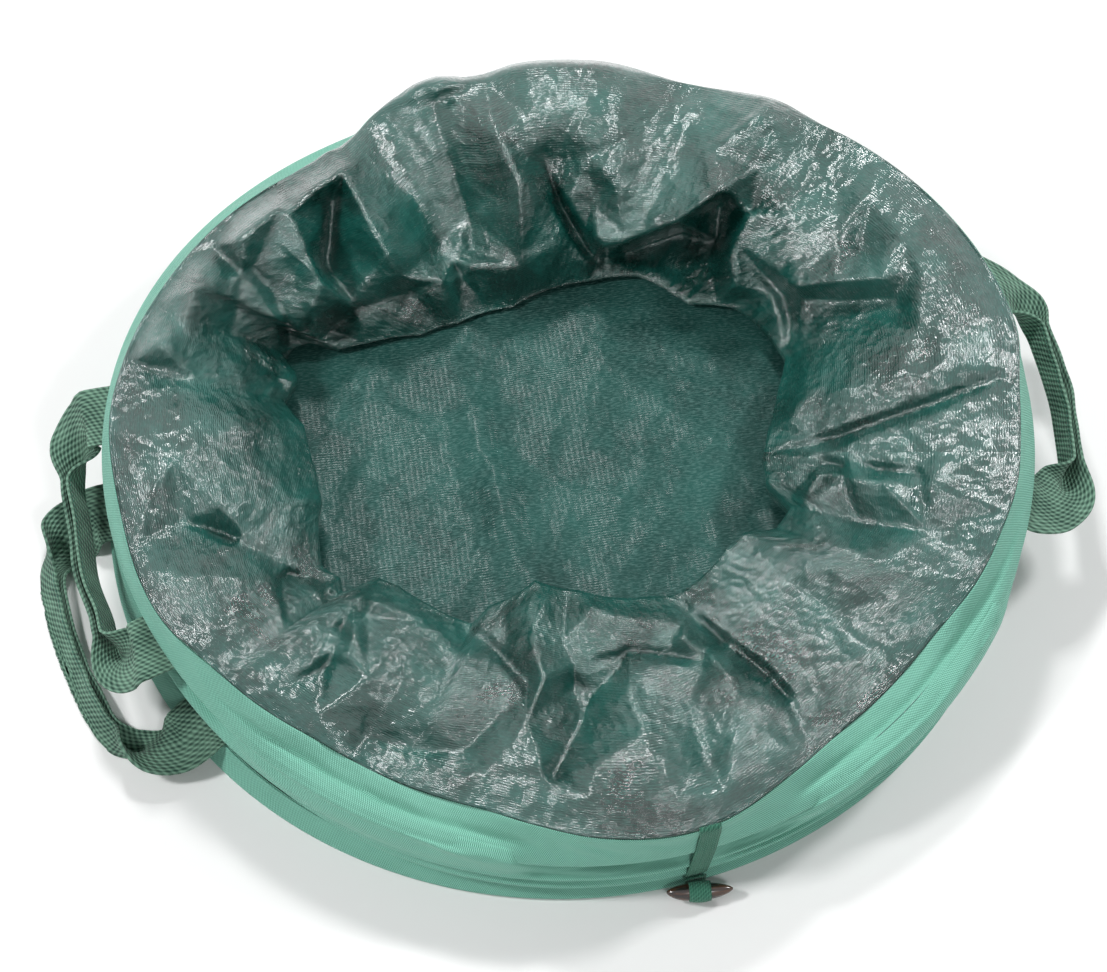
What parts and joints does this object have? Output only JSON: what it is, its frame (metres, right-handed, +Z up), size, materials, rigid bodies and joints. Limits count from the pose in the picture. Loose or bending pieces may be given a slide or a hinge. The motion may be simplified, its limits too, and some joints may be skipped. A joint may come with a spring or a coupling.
{
  "type": "pop up leaf bag",
  "caption": "Round collapsible garden bag, stowed flat: cloth tube on a steel coil between hoops, with rim handles, a tipping handle and toggles.",
  "frame": {"origin": "on the ground, in the middle of the flat underside of the base panel", "axes": "+Z is up, the way the bag pops open; -X is the side with the low tipping handle, and the rim handles face -X and +X; the toggles face -Y and +Y"},
  "size_m": [0.6525, 0.59, 0.1158],
  "materials": {
    "oxford": "woven polyester oxford cloth",
    "liner": "laminated polyethylene weave, creased",
    "webbing": "ribbed webbing",
    "tape": "narrow woven tape with stitching",
    "toggle": "dark polished horn-like plastic",
    "spring_steel": "bright spring wire",
    "ferrule": "crimped ferrule",
    "cap": "soft moulded cap"
  },
  "bodies": {
    "base": {"base_panel": "liner", "base_hoop": "spring_steel", "base_hoop_ferrule": "ferrule", "base_casing": "oxford", "bag_wall": "liner", "coil_spring": "spring_steel", "lower_end_cap": "cap", "upper_end_cap": "cap", "lower_sleeve": "oxford", "upper_sleeve": "oxford", "front_tether": "tape", "rear_tether": "tape", "tip_handle_first_end": "webbing", "tip_handle_second_end": "webbing"},
    "rim": {"rim_hoop": "spring_steel", "rim_hoop_ferrule": "ferrule", "rim_casing": "oxford", "bunched_liner": "liner", "left_handle_first_end": "webbing", "left_handle_second_end": "webbing", "right_handle_first_end": "webbing", "right_handle_second_end": "webbing", "front_loop": "tape", "rear_loop": "tape"},
    "left_handle": {"left_handle": "webbing"},
    "right_handle": {"right_handle": "webbing"},
    "tip_handle": {"tip_handle": "webbing"},
    "front_toggle": {"front_toggle": "toggle", "front_wrap": "tape"},
    "rear_toggle": {"rear_toggle": "toggle", "rear_wrap": "tape"}
  },
  "joints": [
    {"name": "pop_up", "type": "slide", "parent": "base", "child": "rim", "axis": [0, 0, 1], "range_m": [0, 0.6], "deforming": ["bag_wall", "coil_spring", "lower_sleeve", "upper_sleeve", "lower_end_cap", "upper_end_cap"]},
    {"name": "left_handle_swing", "type": "hinge", "parent": "rim", "child": "left_handle", "pos_m": [-0.27513, -0.03378, 0.0627], "axis": [-0.1219, 0.9925, 0], "range_deg": [0, 130]},
    {"name": "right_handle_swing", "type": "hinge", "parent": "rim", "child": "right_handle", "pos_m": [0.27694, -0.01209, 0.06642], "axis": [-0.0436, -0.999, 0], "range_deg": [0, 105]},
    {"name": "tip_handle_swing", "type": "hinge", "parent": "base", "child": "tip_handle", "pos_m": [-0.26807, -0.07058, 0.01612], "axis": [-0.2546, 0.967, 0], "range_deg": [0, 38]},
    {"name": "front_toggle_turn", "type": "hinge", "parent": "base", "child": "front_toggle", "pos_m": [0.03794, -0.28821, 0.0092], "axis": [0.1305, -0.9914, 0], "range_deg": [-90, 90]},
    {"name": "rear_toggle_turn", "type": "hinge", "parent": "base", "child": "rear_toggle", "pos_m": [-0.03794, 0.28821, 0.0092], "axis": [-0.1305, 0.9914, 0], "range_deg": [-90, 90]}
  ]
}
